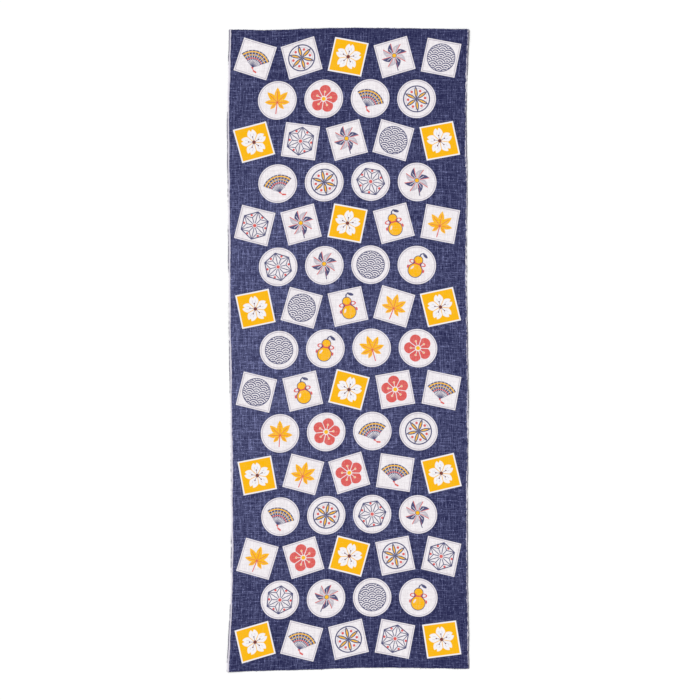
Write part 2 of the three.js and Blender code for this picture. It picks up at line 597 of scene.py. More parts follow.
def lay_out_print():
    """Every ground's middle, its motif and its seeded turn in degrees."""
    rng = np.random.default_rng(TURN_SEED)
    grounds = []
    for row in range(ROWS):
        square = row % 2 == 0
        count = LONG_ROW if square else SHORT_ROW
        for column in range(count):
            x = (column - (count - 1) / 2) * COLUMN_PITCH
            y = (row - (ROWS - 1) / 2) * ROW_PITCH
            lean = rng.uniform(*SQUARE_TURN) * (-1) ** (row // 2 + column)
            turn = lean if square else rng.uniform(-ROUNDEL_TURN, ROUNDEL_TURN)
            grounds.append(Ground(x, y, turn, float(square), motif_of(row, column)))
    return grounds


grounds = lay_out_print()
print("grounds:", len(grounds), "amber:", sum(g.motif == CHERRY for g in grounds))

# %% Maps and marks on the mesh
FACE_SHARE = 0.66
RIM_STRIP = 0.005
STRIP_FILL = 0.6
BACK_START = 0.69


def from_middle(place, x, y, turn):
    """A flat place measured from a ground's middle, in axes turned with the ground."""
    off_x = place[..., 0] - x
    off_y = place[..., 1] - y
    c = np.cos(np.radians(turn))
    s = np.sin(np.radians(turn))
    return off_x * c + off_y * s, off_y * c - off_x * s


def nearest_ground(corners):
    """For each face, the number of the ground whose outline is nearest to the face's middle."""
    middle = corners.mean(1)
    outlines = []
    for ground in grounds:
        px, py = from_middle(middle, ground.x, ground.y, ground.turn)
        square_edge = np.maximum(np.abs(px), np.abs(py)) - SQUARE_HALF
        round_edge = np.hypot(px, py) - ROUNDEL_RADIUS
        outlines.append(square_edge if ground.square else round_edge)
    return np.argmin(outlines, axis=0)


def bake_places(corners):
    """A map with no overlaps: the face on two thirds of the square, the back on the rest, and
    the four sides of the rim in narrow strips between them."""
    share = corners / (WIDTH, LENGTH) + 0.5
    places = share.copy()
    places[:, :, 0] = share[:, :, 0] * FACE_SHARE
    backs = slice(len(face_quads), len(face_quads) + len(back_quads))
    places[backs, :, 0] = BACK_START + share[backs, :, 0] * (1 - BACK_START)
    start = len(face_quads) + len(back_quads)
    rows, columns = across.shape
    for side, count in enumerate((columns - 1, rows - 1, columns - 1, rows - 1)):
        strip = slice(start, start + count)
        along_side = share[strip, :, side % 2]
        left = FACE_SHARE + (side + 0.5) * RIM_STRIP
        places[strip, :, 0] = left + np.array([0, 0, 1, 1]) * RIM_STRIP * STRIP_FILL
        places[strip, :, 1] = along_side
        start += count
    return places


corner_flat = flat_place[skin]
ground_of = nearest_ground(corner_flat)
ground_rows = np.array(grounds, float)[ground_of]
patch_place = np.stack(from_middle(corner_flat, *ground_rows[:, :3].T[:, :, None]), -1)
set_map(towel.data, "Cloth", corner_flat * MM)
set_map(towel.data, "Patch", patch_place * MM)
set_map(towel.data, "OFBake", bake_places(corner_flat))
set_mark(towel.data, "patch_square", ground_rows[:, 3])
set_mark(towel.data, "patch_motif", ground_rows[:, 4])
is_back = np.zeros(len(skin))
is_back[len(face_quads):len(face_quads) + len(back_quads)] = 1.0
set_mark(towel.data, "cloth_back", is_back)
print("maps:", [layer.name for layer in towel.data.uv_layers])

# %% [markdown]
# ## Drawing with arithmetic
#
# A shader can draw anything that a formula can say. Wiring Math nodes by hand is slow to read,
# so a Field wraps one node output and its operators add the nodes: `a * b + 1` on two fields
# makes two Math nodes. Shapes are then signed distances, negative inside, in millimetres:
# joining two is the smaller of them, and cutting one from another is the larger of one and the
# other's opposite.


# %% Fields: numbers that change over the cloth
def math_node(tree, operation, *values, clamp=False):
    """A Math node on fields and plain numbers, as a new field."""
    node = tree.nodes.new("ShaderNodeMath")
    node.operation = operation
    node.use_clamp = clamp
    for slot, value in enumerate(values):
        if isinstance(value, Field):
            tree.links.new(value.socket, node.inputs[slot])
        else:
            node.inputs[slot].default_value = value
    return Field(tree, node.outputs[0])


class Field:
    """One node output that holds a number for each place on the cloth."""

    def __init__(self, tree, socket):
        self.tree = tree
        self.socket = socket

    def calc(self, operation, *others, clamp=False):
        """The field that a Math node gives for this one and others."""
        return math_node(self.tree, operation, self, *others, clamp=clamp)

    def clipped(self):
        """The number, kept between 0 and 1."""
        return self.calc("ADD", 0.0, clamp=True)

    def __add__(self, other):
        return self.calc("ADD", other)

    __radd__ = __add__

    def __sub__(self, other):
        return self.calc("SUBTRACT", other)

    def __rsub__(self, other):
        return math_node(self.tree, "SUBTRACT", other, self)

    def __mul__(self, other):
        return self.calc("MULTIPLY", other)

    __rmul__ = __mul__

    def __truediv__(self, other):
        return self.calc("DIVIDE", other)

    def __neg__(self):
        return self.calc("MULTIPLY", -1.0)

    def __abs__(self):
        return self.calc("ABSOLUTE")


def coordinates(tree, place):
    """The coordinates of a place, as fields."""
    node = tree.nodes.new("ShaderNodeSeparateXYZ")
    tree.links.new(place, node.inputs[0])
    return [Field(tree, output) for output in node.outputs]


def place_of(tree, *fields):
    """The place that has these fields for its coordinates."""
    node = tree.nodes.new("ShaderNodeCombineXYZ")
    for field, socket in zip(fields, node.inputs):
        tree.links.new(field.socket, socket)
    return node.outputs[0]


def length_of(x, y):
    """How far (x, y) is from zero."""
    return (x * x + y * y).calc("SQRT")


def both(a, *others):
    """Inside all the shapes: the largest distance."""
    for other in others:
        a = a.calc("MAXIMUM", other)
    return a


def either(a, *others):
    """Inside any of the shapes: the smallest distance."""
    for other in others:
        a = a.calc("MINIMUM", other)
    return a


def without(shape, *holes):
    """Inside the shape but outside every hole."""
    return both(shape, -either(*holes))


INK_BLEED = 0.35


def ink(distance):
    """Full ink inside a shape, none outside, with an edge as soft as ink bleeds in cotton."""
    return distance.calc("MULTIPLY_ADD", -1.0 / INK_BLEED, 0.5, clamp=True)


# %% Shapes in millimetres
def disc(x, y, radius):
    """Distance to a round disc about zero."""
    return length_of(x, y) - radius


def oval(x, y, half_x, half_y):
    """About the distance to an oval: that of the unit circle it squeezes to, scaled back."""
    return (length_of(x / half_x, y / half_y) - 1.0) * min(half_x, half_y)


def line(distance, half_width):
    """A line drawn along a shape's edge."""
    return abs(distance) - half_width


def stroke(x, y, start, end, half_width):
    """Distance to a straight stroke with round ends: the nearest point on it is found by
    projecting the place on it and keeping the share between 0 and 1."""
    run = (end[0] - start[0], end[1] - start[1])
    square = run[0] ** 2 + run[1] ** 2
    px = x - start[0]
    py = y - start[1]
    share = (px * (run[0] / square) + py * (run[1] / square)).clipped()
    return length_of(px - share * run[0], py - share * run[1]) - half_width


def turned(x, y, degrees):
    """The place (x, y) measured in axes turned counterclockwise."""
    c = math.cos(math.radians(degrees))
    s = math.sin(math.radians(degrees))
    return x * c + y * s, y * c - x * s


def around(x, y, count):
    """Folds the plane into one of count equal sectors round zero, the first one about +Y.
    Returns the place aside of the sector's axis and out along it, and the sector's number."""
    sector = 2 * math.pi / count
    angle = x.calc("ARCTAN2", y)
    number = (angle / sector).calc("ROUND")
    off = angle - number * sector
    radius = length_of(x, y)
    return radius * off.calc("SINE"), radius * off.calc("COSINE"), number


def stripes(run, pitch, ink_share):
    """Distance to even stripes along a run, each covering a share of the pitch."""
    return abs(run.calc("FLOORED_MODULO", pitch) - pitch / 2) - pitch * ink_share / 2


# %% [markdown]
# ## The motifs
#
# Each motif becomes a shader node group. It takes the place on its ground and gives one mask
# for each ink that it uses; white is the bare cotton, left free in an amber ground. The inks go
# on in the order of the table below, so a light shape that lies within a dark one has to be
# left out of it. A motif is drawn within 18 mm of zero and printed a tenth larger. The plain
# numbers in a drawing are its own places and radii in millimetres and angles in degrees.

# %% Motif groups
INKS = ("White", "Grey", "Amber", "Red", "Navy", "Brown")
MOTIF_GROWTH = 1.1


def new_group(name):
    """A shader group that takes a place and gives nothing yet: returns its tree, the place and
    its output node."""
    tree = bpy.data.node_groups.new(name, "ShaderNodeTree")
    tree.interface.new_socket("Place", in_out="INPUT", socket_type="NodeSocketVector")
    place = tree.nodes.new("NodeGroupInput").outputs["Place"]
    return tree, place, tree.nodes.new("NodeGroupOutput")


def give(leave, label, field):
    """Adds a named output to the group that an output node belongs to, and feeds it."""
    field.tree.interface.new_socket(label, in_out="OUTPUT", socket_type="NodeSocketFloat")
    field.tree.links.new(field.socket, leave.inputs[label])


def place_in_mm(tree, socket, growth=1.0):
    """The two flat coordinates of a place that is given in metres, as fields in millimetres. A
    pattern drawn with them comes out larger by the growth."""
    grown = tree.nodes.new("ShaderNodeVectorMath")
    grown.operation = "SCALE"
    grown.inputs["Scale"].default_value = 1 / (MM * growth)
    tree.links.new(socket, grown.inputs[0])
    return coordinates(tree, grown.outputs[0])[:2]


def motif_group(name, draw):
    """Builds a motif's group from a function of (x, y) that returns {ink: shape}."""
    tree, place, leave = new_group(name)
    shapes = draw(*place_in_mm(tree, place, MOTIF_GROWTH))
    for label in INKS:
        if label in shapes:
            give(leave, label, ink(shapes[label]))
    print(f"{name}: {len(tree.nodes)} nodes, inks {', '.join(shapes)}")
    return tree


# %% Plum blossom: five round petals, a ring of stamens
def border_gap(aside, outward, count):
    """How far a place is from the border between two of the sectors that around() folds."""
    half = math.pi / count
    return outward * math.sin(half) - abs(aside) * math.cos(half)


def plum_blossom(x, y):
    """Five discs, each kept to its own fifth by a thin gap at the borders. A disc in the middle
    and a stamen up each petal, a strip with a dot on it, are left out of the red."""
    aside, outward, _ = around(x, y, 5)
    petals = both(disc(aside, outward - 10.6, 7.2), 0.45 - border_gap(aside, outward, 5))
    stamen = both(abs(aside) - 0.34, outward - 8.6, 3.4 - outward)
    anther = disc(aside, outward - 9.2, 0.9)
    return {
        "Red": without(petals, disc(x, y, 3.7), stamen, anther - 0.45),
        "Amber": either(disc(x, y, 2.6), anther),
    }


# %% Hemp leaf: a six-pointed star of straight lines
def hemp_leaf(x, y):
    """One twelfth of a hexagon, mirrored and turned: strokes join its middle, its corner and the
    middle of the triangle between them, and a stronger stroke is the rim."""
    reach = 18.0
    aside, outward, _ = around(x, y, 6)
    aside = abs(aside)
    middle = (reach / 2 * math.tan(math.radians(30)), reach / 2)
    rim = (reach * math.cos(math.radians(30)) * 0.5, reach * 0.75)
    lines = either(
        stroke(aside, outward, (0.0, 0.0), (0.0, reach), 0.5),
        stroke(aside, outward, (0.0, 0.0), middle, 0.5),
        stroke(aside, outward, middle, (0.0, reach), 0.5),
        stroke(aside, outward, (0.0, reach), rim, 0.65),
    )
    between = disc(aside - 6.9, outward - 12.0, 1.5)
    return {
        "Navy": without(lines, disc(x, y, 3.0)),
        "Red": either(disc(x, y, 2.2), between),
    }


# %% Gourd with a tied cord
def gourd(x, y):
    """Two discs joined by a smooth smallest distance, with a bent stem and a leaf. The cord is a
    band where the discs join and, mirrored on both sides, a bow of an oval ring and a tail."""
    bulb = disc(x, y + 7.2, 9.0)
    neck = disc(x, y - 6.4, 5.7)
    body = bulb.calc("SMOOTH_MIN", neck, 5.0)
    stem = either(
        stroke(x, y, (0.0, 12.0), (0.8, 15.0), 0.8),
        stroke(x, y, (0.8, 15.0), (3.8, 17.2), 0.65),
    )
    band = both(abs(y - 1.7) - 0.9, body - 0.6)
    side = abs(x)
    bow = either(
        line(oval(side - 6.8, y - 2.8, 3.4, 2.1), 0.55),
        stroke(side, y, (3.6, 1.4), (9.6, -4.0), 0.55),
        oval(side - 10.4, y + 5.2, 1.2, 2.2),
    )
    shine = oval(*turned(x + 4.6, y + 4.8, -28), 1.1, 2.9)
    leaf = oval(*turned(x - 6.6, y - 14.6, 62), 1.8, 3.8)
    return {
        "Amber": without(body, shine),
        "Red": either(band, bow),
        "Navy": either(line(body, 0.45), stem, leaf),
    }


# %% Folding fan: a leaf of pleats on bare ribs
def folding_fan(x, y):
    """All is measured round a pivot under the middle. The leaf is a ring between two radii and
    two angles, cut by a fold at each of nine pleats, and the sticks carry on along the folds."""
    pivot = 11.5
    open_half = math.radians(56)
    y = y + pivot
    radius = length_of(x, y)
    angle = x.calc("ARCTAN2", y)
    aside_open = (abs(angle) - open_half) * 14.0
    leaf = both(abs(radius - 16.2) - 6.4, aside_open)
    pleat = open_half * 2 / 9
    number = ((angle + open_half) / pleat).calc("FLOOR")
    from_fold = pleat / 2 - abs(angle + open_half - (number + 0.5) * pleat)
    fold = from_fold * radius - 0.3
    sticks = both(fold - 0.1, radius - 9.6, aside_open - 0.4)
    border = both(abs(radius - 20.3) - 0.8, aside_open + 0.4)
    band = both(abs(radius - 12.2) - 0.6, aside_open + 0.4)
    dot = disc((angle + open_half - (number + 0.5) * pleat) * 16.3, radius - 16.3, 1.0)
    dot = both(dot, aside_open)
    cord = either(
        stroke(x, y, (0.0, -0.5), (2.6, -3.6), 0.5),
        stroke(x, y, (2.6, -3.6), (5.8, -4.6), 1.05),
    )
    return {
        "Navy": either(without(leaf, fold, border, band, dot), sticks),
        "Amber": either(border, dot),
        "Red": either(cord, band, disc(x, y, 1.4)),
    }


# %% Pinwheel: eight blades that swell as they turn
def pinwheel(x, y):
    """The share of the way round each eighth makes the blades: their reach grows evenly with it,
    and a fold and a red rim lie at fixed shares. Even blades are navy and odd ones grey."""
    y = y - 2.0
    count = 8
    sector = 2 * math.pi / count
    angle = x.calc("ARCTAN2", y)
    number = (angle / sector).calc("FLOOR")
    share = angle / sector - number
    radius = length_of(x, y)
    blade = both(radius - (share * 7.5 + 9.0), (0.09 - share) * 8.0, 3.9 - radius)
    fold = both(abs(share - 0.52) * radius * sector - 0.3, radius - 10.5)
    odd = number.calc("FLOORED_MODULO", 2.0) - 0.5
    stick = both(abs(x) - 0.6, y + 9.5, -20.0 - y)
    rim = both((0.97 - share) * radius * sector - 0.6, blade)
    hub_rim = line(disc(x, y, 2.9), 0.4)
    return {
        "Grey": without(both(blade, odd * 8.0), fold),
        "Red": rim,
        "Navy": either(without(both(blade, -odd * 8.0), fold, rim), stick, hub_rim),
        "Amber": disc(x, y, 2.5),
    }


# %% Maple leaf: seven pointed lobes and a stem
def maple_leaf(x, y):
    """Lobes in seven of eight sectors, shorter towards the stem. Each is as wide as a parabola of
    the share of its reach, and a disc joins them."""
    y = y + 2.5
    aside, outward, number = around(x, y, 8)
    swing = abs(number)
    reach = 19.0 - swing * swing * 0.75
    share = outward / reach
    widest = 0.42
    taper = (share - widest) * (share - widest) * (1.0 / (1.0 - widest) ** 2)
    lobe = abs(aside) - reach * 0.21 * (1.0 - taper)
    lobe = either(lobe, disc(x, y, 4.6))
    bottom = (swing - 3.5) * 4.0
    vein = both(abs(aside) - 0.3, share * 10.0 - 7.6, bottom)
    stem = stroke(x, y, (0.0, 0.5), (-1.4, -14.5), 0.6)
    return {"Amber": both(lobe * 0.8, bottom), "Red": either(vein, stem)}


# %% Thread ball: petals of wound silk in a round rim
def thread_ball(x, y):
    """Six petals where two discs of the ball's own radius overlap, with dots between them, a
    belt that passes behind them and a round rim."""
    radius = 16.5
    aside, outward, _ = around(x, y, 6)
    bend = radius * math.cos(math.radians(30))
    petal = disc(abs(aside) + bend, outward - radius / 2, radius)
    core = petal + 1.25
    between = disc(abs(aside) - radius * 0.33, outward - radius * 0.57, 1.7)
    rim = line(disc(x, y, radius), 0.75)
    belt = without(line(disc(x, y, radius * 0.82), 0.35), petal)
    return {
        "Grey": belt,
        "Amber": core,
        "Red": between,
        "Navy": either(rim, without(petal, core), disc(x, y, 1.3)),
    }


# %% Sea waves: rows of arcs, each row in front of the one beyond
def sea_waves(x, y):
    """Discs in rows, every other row half a disc over. A place belongs to the nearest row whose
    disc holds it, found by going back row by row, and even stripes of the distance from that
    disc's middle are the arcs."""
    scale = 8.4
    row_step = scale / 2
    rings = None
    row = (y / row_step).calc("FLOOR")
    for back in range(4):
        this_row = row - float(back)
        centre_y = this_row * row_step
        shift = this_row.calc("FLOORED_MODULO", 2.0) * scale
        dx = (x - shift + scale).calc("FLOORED_MODULO", 2 * scale) - scale
        reach = length_of(dx, y - centre_y)
        if rings is None:
            rings = reach
        else:
            inside = reach.calc("LESS_THAN", scale)
            rings = rings + (reach - rings) * inside
    arcs = stripes(scale - rings, scale / 3.0, 0.5)
    whole = disc(x, y, 17.6)
    return {"Navy": either(both(arcs, whole), line(whole, 0.5))}


# %% Cherry blossom: five notched petals, for the amber grounds
def cherry_blossom(x, y):
    """Five ovals with a V cut into their tips, each kept to its own fifth, with short stamens and
    two veins on every petal."""
    aside, outward, _ = around(x, y, 5)
    wide = oval(aside, outward - 9.0, 5.9, 7.7)
    notch = (outward - 13.6) * 0.72 - abs(aside) * 1.05
    petals = both(wide, notch, 0.4 - border_gap(aside, outward, 5))
    stamen = both(abs(aside) - 0.3, outward - 6.6, 2.0 - outward)
    anther = disc(aside, outward - 7.0, 0.9)
    vein = both(abs(abs(aside) - 2.0) - 0.24, abs(outward - 9.6) - 1.7)
    return {
        "White": petals,
        "Grey": both(vein, petals),
        "Brown": either(stamen, anther, disc(x, y, 2.3)),
    }


DRAWERS = (
    plum_blossom,
    hemp_leaf,
    gourd,
    folding_fan,
    pinwheel,
    maple_leaf,
    thread_ball,
    sea_waves,
    cherry_blossom,
)
motif_trees = [motif_group(draw.__name__, draw) for draw in DRAWERS]

# %% [markdown]
# ## Slub cotton
#
# The yarn is spun uneven on purpose. Its thick, soft places take less dye, so an indigo ground
# shows pale flecks that run with the warp and with the weft, and small round neps. One group
# gives these to every cotton here: how pale each place is, the tone of the single yarn on top,
# and the height of the weave in millimetres for a bump.

# %% The slub cotton group
WEFT_PITCH = 0.50
WEFT_START = 300.0
NEXT_THREAD = 3.7
SINGLE_LONG = 7.0
SINGLE_GAIN = 2.3
SLUB_WIDE = 1.0
SLUB_LONG = 9.0
SLUB_GAIN = 3.0
BAR_WIDE = 1.35
BAR_LONG = 38.0
BAR_GAIN = 3.2
NEP_GAIN = 1.5
NEP_APART = 6.0
NEP_RADIUS = 0.9
CROWN_HIGH = 0.05
SLUB_HIGH = 0.12
NEP_HIGH = 0.05


def noise(tree, u, v):
    """Smooth noise about one unit across, near 0.5 on average, of two fields."""
    texture = tree.nodes.new("ShaderNodeTexNoise")
    texture.noise_dimensions = "2D"
    texture.inputs["Scale"].default_value = 1.0
    texture.inputs["Detail"].default_value = 0.0
    tree.links.new(place_of(tree, u, v), texture.inputs["Vector"])
    return Field(tree, texture.outputs[0])


def dots(tree, x, y, apart, radius):
    """Round spots scattered about this far apart: 1 in the middle third of each, falling evenly
    to 0 at the radius. A Voronoi texture finds how far the nearest of the scattered points is."""
    cells = tree.nodes.new("ShaderNodeTexVoronoi")
    cells.voronoi_dimensions = "2D"
    cells.inputs["Scale"].default_value = 1.0
    tree.links.new(place_of(tree, x / apart, y / apart), cells.inputs["Vector"])
    reach = radius / apart
    return rising(-Field(tree, cells.outputs["Distance"]), -reach, -reach / 3)


def rising(value, low, high):
    """0 up to low, 1 from high, and a straight climb between."""
    return value.calc("MULTIPLY_ADD", 1.0 / (high - low), -low / (high - low), clamp=True)


def thread_tone(tree, beside, run, pitch, start):
    """How pale the threads of one direction are, about zero: each thread by itself, thick places
    that reach over two or three threads, and long faint bars. Returns that tone, the parts of
    it that single threads and thick places have, the thread's number, and where in its own
    width a place is (-1 to 1). Each kind is noise stretched to its own width and length, and
    single threads lie NEXT_THREAD apart in it, so that neighbours differ."""
    number = (beside / pitch).calc("FLOOR")
    single = noise(tree, number * NEXT_THREAD + start, run / SINGLE_LONG) - 0.5
    slub = noise(tree, beside / SLUB_WIDE + start, run / SLUB_LONG) - 0.5
    bar = noise(tree, beside / BAR_WIDE + start, run / BAR_LONG) - 0.5
    tone = single * SINGLE_GAIN + slub * SLUB_GAIN + bar * BAR_GAIN
    side = (beside / pitch - number) * 2.0 - 1.0
    return tone, single, slub, number, side


def slub_cotton():
    """Builds the group. In plain weave the weft is on top where its number and the warp's add up
    to an odd one. A crossing is as high as the square root of how far it is from the gaps."""
    tree, place, leave = new_group("slub_cotton")
    x, y = place_in_mm(tree, place)
    warp, warp_single, warp_slub, warp_number, warp_side = thread_tone(tree, x, y, WARP_PITCH, 0.0)
    weft, weft_single, weft_slub, weft_number, weft_side = thread_tone(
        tree, y, x, WEFT_PITCH, WEFT_START
    )
    over = (warp_number + weft_number).calc("FLOORED_MODULO", 2.0)
    nep = dots(tree, x, y, NEP_APART, NEP_RADIUS)
    give(leave, "Pale", warp + (weft - warp) * over + nep * NEP_GAIN)
    single = warp_single + (weft_single - warp_single) * over + 0.5
    give(leave, "Yarn", single.clipped())
    crown = ((1.0 - abs(warp_side)) * (1.0 - abs(weft_side))).calc("SQRT")
    relief = crown * CROWN_HIGH + (warp_slub + weft_slub) * SLUB_HIGH + nep * NEP_HIGH
    give(leave, "Relief", relief)
    print("slub_cotton:", len(tree.nodes), "nodes")
    return tree


slub_tree = slub_cotton()

# %% [markdown]
# ## The printed cloth
#
# The material lays its colours down in the order that they come to the cloth. First the
# indigo ground, with painted light paler down the middle of the left side and painted shade
# deeper towards the ends and the right, and the slubs showing through. Then the undyed grounds:
# a white one has a fine grey line inside its edge, and an amber one a cleaner white border. Then
# the inks, light ones first, a little thin on the slubs. The two selvedges are never printed: the
# print stops there thread by thread, so its limit wavers and frays, and a painted shadow darkens
# some stretches of the outermost threads, where the edge stands off the table. The back shows the
# same print, soaked through and paler.
#
# Cotton is matt everywhere, but not evenly so. It is roughest where it is bare and a little
# smoother on the yarns that catch less light and where ink binds the fibres, so the roughness
# is worked out from the same two fields as the colours.

# %% Colours
LIGHT_GAIN = SKY_STRENGTH + LAMP_SHARE


def albedo_from_shown(red, green, blue):
    """The own colour of a surface, from the sRGB colour (0 to 255) that it shows in the studio
    light; painted light and shade are given the same way.
    """
    shown = np.array([red, green, blue]) / 255.0
    linear = np.where(shown <= 0.04045, shown / 12.92, ((shown + 0.055) / 1.055) ** 2.4)
    return (*np.minimum(linear / LIGHT_GAIN, 1.0), 1.0)


GROUND_DEEP = albedo_from_shown(32, 34, 76)
GROUND_PALE = albedo_from_shown(148, 153, 202)
COTTON = albedo_from_shown(242, 236, 239)
# A lit and a shaded white of the bare cotton, between which the weave's painted shade is mixed.
COTTON_LIGHT = albedo_from_shown(255, 251, 254)
COTTON_SHADED = albedo_from_shown(227, 220, 224)
SELVEDGE = albedo_from_shown(218, 213, 226)
CLEAN = albedo_from_shown(250, 248, 251)
# Painted shadow on the outermost threads of the selvedges.
PAINTED_EDGE_SHADE = albedo_from_shown(92, 90, 110)
RING_GREY = albedo_from_shown(184, 176, 190)
THREAD_DEEP = albedo_from_shown(50, 53, 94)
THREAD_PALE = albedo_from_shown(96, 100, 142)
INK_COLOURS = {
    "Grey": albedo_from_shown(196, 190, 200),
    "Amber": albedo_from_shown(253, 187, 3),
    "Red": albedo_from_shown(222, 92, 88),
    "Navy": albedo_from_shown(72, 74, 116),
    "Brown": albedo_from_shown(118, 56, 58),
}


# %% Material helpers
# A Mix node has like-named sockets for numbers and for colours: these are the colour ones.
MIX_FIRST = 6
MIX_SECOND = 7
MIX_RESULT = 2


def colour_mix(tree, share, first, second):
    """A Mix node from the first colour to the second; each is a socket or a plain colour."""
    node = tree.nodes.new("ShaderNodeMix")
    node.data_type = "RGBA"
    tree.links.new(share.socket, node.inputs["Factor"])
    for slot, colour in ((MIX_FIRST, first), (MIX_SECOND, second)):
        if isinstance(colour, bpy.types.NodeSocket):
            tree.links.new(colour, node.inputs[slot])
        else:
            node.inputs[slot].default_value = colour
    return node.outputs[MIX_RESULT]


SPECULAR = 0.15
SHEEN = 0.04
SHEEN_ROUGH = 0.5
ROUGH_BARE = 0.97
ROUGH_YARN = 0.07
ROUGH_INKED = 0.05


def new_finish(name):
    """A material with a plain matt cotton shader: returns it, its tree and the shader."""
    material = bpy.data.materials.new(name)
    material.use_nodes = True
    shader = material.node_tree.nodes["Principled BSDF"]
    shader.inputs["Specular IOR Level"].default_value = SPECULAR
    shader.inputs["Sheen Weight"].default_value = SHEEN
    shader.inputs["Sheen Roughness"].default_value = SHEEN_ROUGH
    return material, material.node_tree, shader


def bump_from(tree, shader, relief):
    """Bends the shader's normal by a relief in millimetres."""
    bump = tree.nodes.new("ShaderNodeBump")
    bump.inputs["Strength"].default_value = 1.0
    bump.inputs["Distance"].default_value = MM
    tree.links.new(relief.socket, bump.inputs["Height"])
    tree.links.new(bump.outputs["Normal"], shader.inputs["Normal"])


def map_place(tree, name):
    """The place on one of the piece's own UV maps."""
    node = tree.nodes.new("ShaderNodeUVMap")
    node.uv_map = name
    return node.outputs["UV"]


def mark_of(tree, name):
    """One of the numbers marked on the faces, as a field."""
    node = tree.nodes.new("ShaderNodeAttribute")
    node.attribute_name = name
    return Field(tree, node.outputs["Fac"])


def use_group(tree, group, place):
    """Places a group in a material, fed with a place."""
    node = tree.nodes.new("ShaderNodeGroup")
    node.node_tree = group
    tree.links.new(place, node.inputs["Place"])
    return node


# %% Painted shadow along the selvedges
# Painted shadow along the selvedges' outermost threads, in stretches.
EDGE_SHADE_LENGTH = 75.0
EDGE_SHADE_BREAK = 5.0
BREAK_SHARE = 0.35
EDGE_SHADE_LIMITS = (0.40, 0.60)
LEFT_EDGE_SHADE = 41.7
RIGHT_EDGE_SHADE = 61.7
RIGHT_MORE = 0.12


def selvedge_painted_shade():
    """Builds the group: how much painted shadow darkens the outermost threads at a place, 0 to 1,
    where the selvedge stands off the table. Long noise down each selvedge sets the shaded
    stretches and short noise breaks them up. The right selvedge takes a little more."""
    tree, place, leave = new_group("selvedge_painted_shade")
    x, y = place_in_mm(tree, place)
    right = x.calc("GREATER_THAN", 0.0)
    row = right * (RIGHT_EDGE_SHADE - LEFT_EDGE_SHADE) + LEFT_EDGE_SHADE
    stretch = noise(tree, y / EDGE_SHADE_LENGTH, row) + right * RIGHT_MORE
    broken = noise(tree, y / EDGE_SHADE_BREAK, row + 7.0) - 0.5
    give(leave, "EdgeShade", rising(stretch + broken * BREAK_SHARE, *EDGE_SHADE_LIMITS))
    print("selvedge_painted_shade:", len(tree.nodes), "nodes")
    return tree


edge_shade_tree = selvedge_painted_shade()

# %% The cloth's finish
BORDER = 1.9
RING_INSET = 1.8
RING_HALF = 0.45
LEFT_MARGIN = 2.75
RIGHT_MARGIN = 1.5
LEFT_FRAY = 0.8
RIGHT_FRAY = 2.6
FRAY_LENGTH = 5.0
FRAY_APART = 8.0
WAVER = 1.8
WAVER_LENGTH = 60.0
OUTERMOST = (0.5, 1.3)
BACK_FADE = 0.17
BACK_SLUB_FADE = 0.03
PALE_SHARE = 0.172
# Painted light and shade on the indigo ground: paler down the middle of the left side, darker
# towards the ends and the right.
PAINTED_SHADE_AT_END = 0.66
PAINTED_SHADE_POWER = 1.5
PAINTED_SHADE_ACROSS = 0.28
FLECK_GAIN = 1.2
FLECK_LIFT = 0.48
FLECK_SINK = 0.15
SLUB_SHEEN = 0.37
SLUB_THIN = 0.08
AMBER_THIN = 0.25
AMBER_CLEAN = 0.7


def ground_colour(tree, x, y, slub):
    """Indigo between a deep and a pale shade, with painted light and shade laid over it: the pale
    share falls towards either end, with a power of the way there, and evenly from left to right,
    so the ground is painted lightest down the middle of the left side. Slubs raise or lower it,
    half by the place's own share and half by the same everywhere, and a little of their square is
    added, because a thick place stands out more than a thin one."""
    end_shade = (abs(y) / (LENGTH / 2)).calc("POWER", PAINTED_SHADE_POWER)
    middle = PALE_SHARE - end_shade * (PALE_SHARE * PAINTED_SHADE_AT_END)
    painted_light_share = middle * (1.0 - x * (PAINTED_SHADE_ACROSS / (WIDTH / 2)))
    pale = slub["Pale"]
    fleck = pale * (pale * FLECK_LIFT + FLECK_GAIN) - FLECK_SINK
    share = painted_light_share + fleck * (painted_light_share + PALE_SHARE) * 0.5
    return colour_mix(tree, share.clipped(), GROUND_DEEP, GROUND_PALE)


def warp_middle(x):
    """The middle line of the warp thread that passes through a place."""
    return (x / WARP_PITCH).calc("FLOOR") * WARP_PITCH + WARP_PITCH / 2


def undyed_strip(tree, from_edge, y, margin, fray, start):
    """Distance to one selvedge's undyed strip. It is as wide as the margin, give or take a slow
    waver, and frays where single warp threads take the dye up in stretches of their own."""
    slow = (noise(tree, y / WAVER_LENGTH, y * 0.0 + start) - 0.5) * WAVER
    own = (noise(tree, from_edge * FRAY_APART + start, y / FRAY_LENGTH) - 0.5) * fray
    return from_edge - (slow + own + margin)


def undyed_strips(tree, x, y):
    """Distance to the undyed strips down both sides, one warp thread at a time."""
    middle = warp_middle(x)
    left = undyed_strip(tree, middle + WIDTH / 2, y, LEFT_MARGIN, LEFT_FRAY, start=3.0)
    right = undyed_strip(tree, WIDTH / 2 - middle, y, RIGHT_MARGIN, RIGHT_FRAY, start=21.0)
    return either(left, right)


